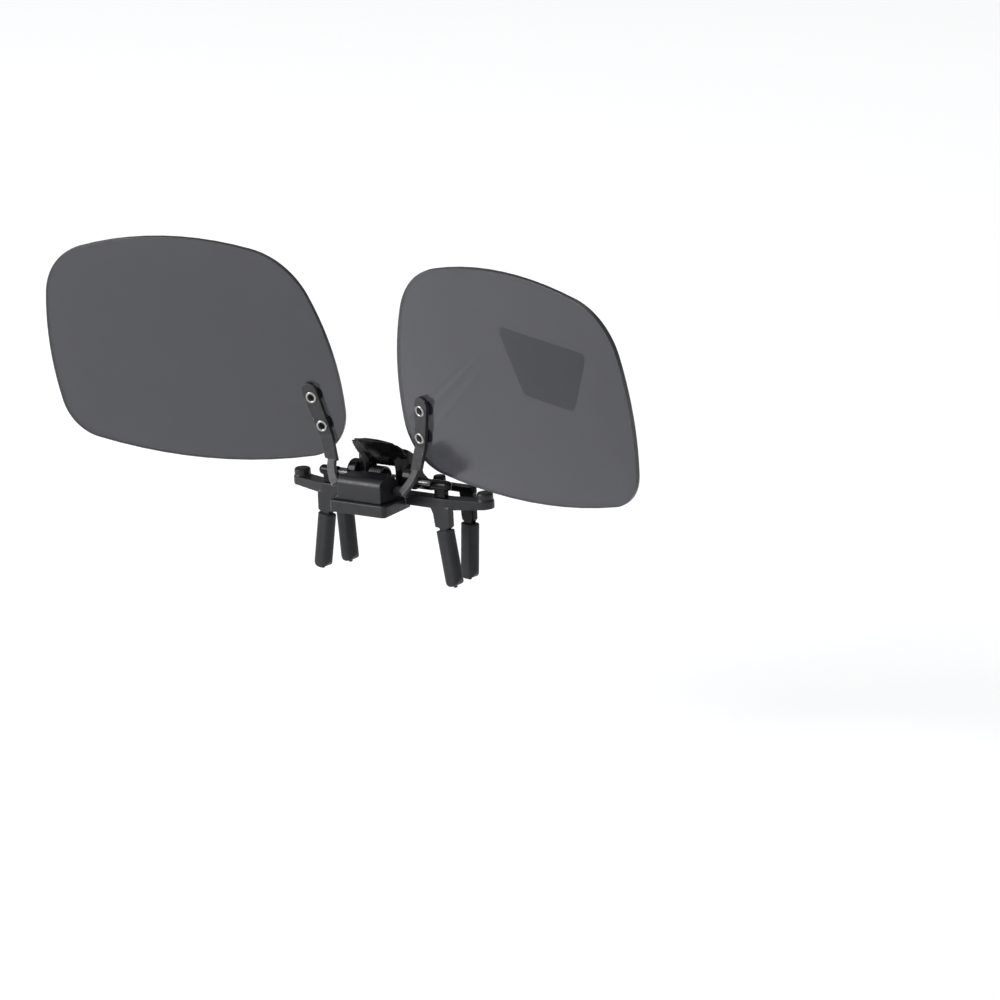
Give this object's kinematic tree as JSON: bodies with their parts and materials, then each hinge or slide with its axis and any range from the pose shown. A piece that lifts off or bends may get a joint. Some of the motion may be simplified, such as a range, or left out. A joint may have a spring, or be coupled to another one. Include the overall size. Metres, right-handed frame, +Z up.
{
  "type": "clip on sunglasses",
  "caption": "Frameless tinted flip-up sunglass lenses on a sprung clip with rubber-sleeved prongs that grips the front of a pair of spectacles.",
  "frame": {"origin": "middle of the grip: midway between the front and rear prongs and the left and right prongs, level with the underside of the bar that rests on the spectacle rim", "axes": "+X to the viewer's right seen from the front, +Y towards the wearer's face, +Z up; the lenses are stored flipped up"},
  "size_m": [0.1274, 0.0224, 0.0597],
  "materials": {
    "body_plastic": "satin",
    "jaw_plastic": "gloss",
    "stem_metal": "satin",
    "steel": "satin",
    "rivet_silver": "polished",
    "lens_tint": "gloss",
    "sleeve_rubber": "matte",
    "washer_plastic": "matte",
    "label_film": "satin"
  },
  "bodies": {
    "clip": {"front_body": "body_plastic", "hinge_housing": "body_plastic", "detent_spring": "steel", "jaw_pin": "steel", "pin_post_left": "jaw_plastic", "pin_post_right": "jaw_plastic", "torsion_spring": "steel", "sleeve_front_left": "sleeve_rubber", "sleeve_front_right": "sleeve_rubber"},
    "lenses": {"flip_axle": "steel", "detent_cam": "steel", "stem_left": "stem_metal", "stem_right": "stem_metal", "lens_left": "lens_tint", "lens_right": "lens_tint", "lens_rivets": "rivet_silver", "rivet_washers": "washer_plastic", "lens_label": "label_film"},
    "jaw": {"rear_jaw": "jaw_plastic", "sleeve_rear_left": "sleeve_rubber", "sleeve_rear_right": "sleeve_rubber"}
  },
  "joints": [
    {"name": "lens_flip", "type": "hinge", "parent": "clip", "child": "lenses", "pos_m": [0, -0.00595, 0.00295], "axis": [1, 0, 0], "range_deg": [-9.5, 170.5], "deforming": ["detent_spring"]},
    {"name": "jaw_open", "type": "hinge", "parent": "clip", "child": "jaw", "pos_m": [0, -0.0025, 0.004], "axis": [1, 0, 0], "range_deg": [0, 20], "stiffness_Nm_per_rad": 0.02, "springref_deg": -11.46, "deforming": ["torsion_spring"]}
  ]
}
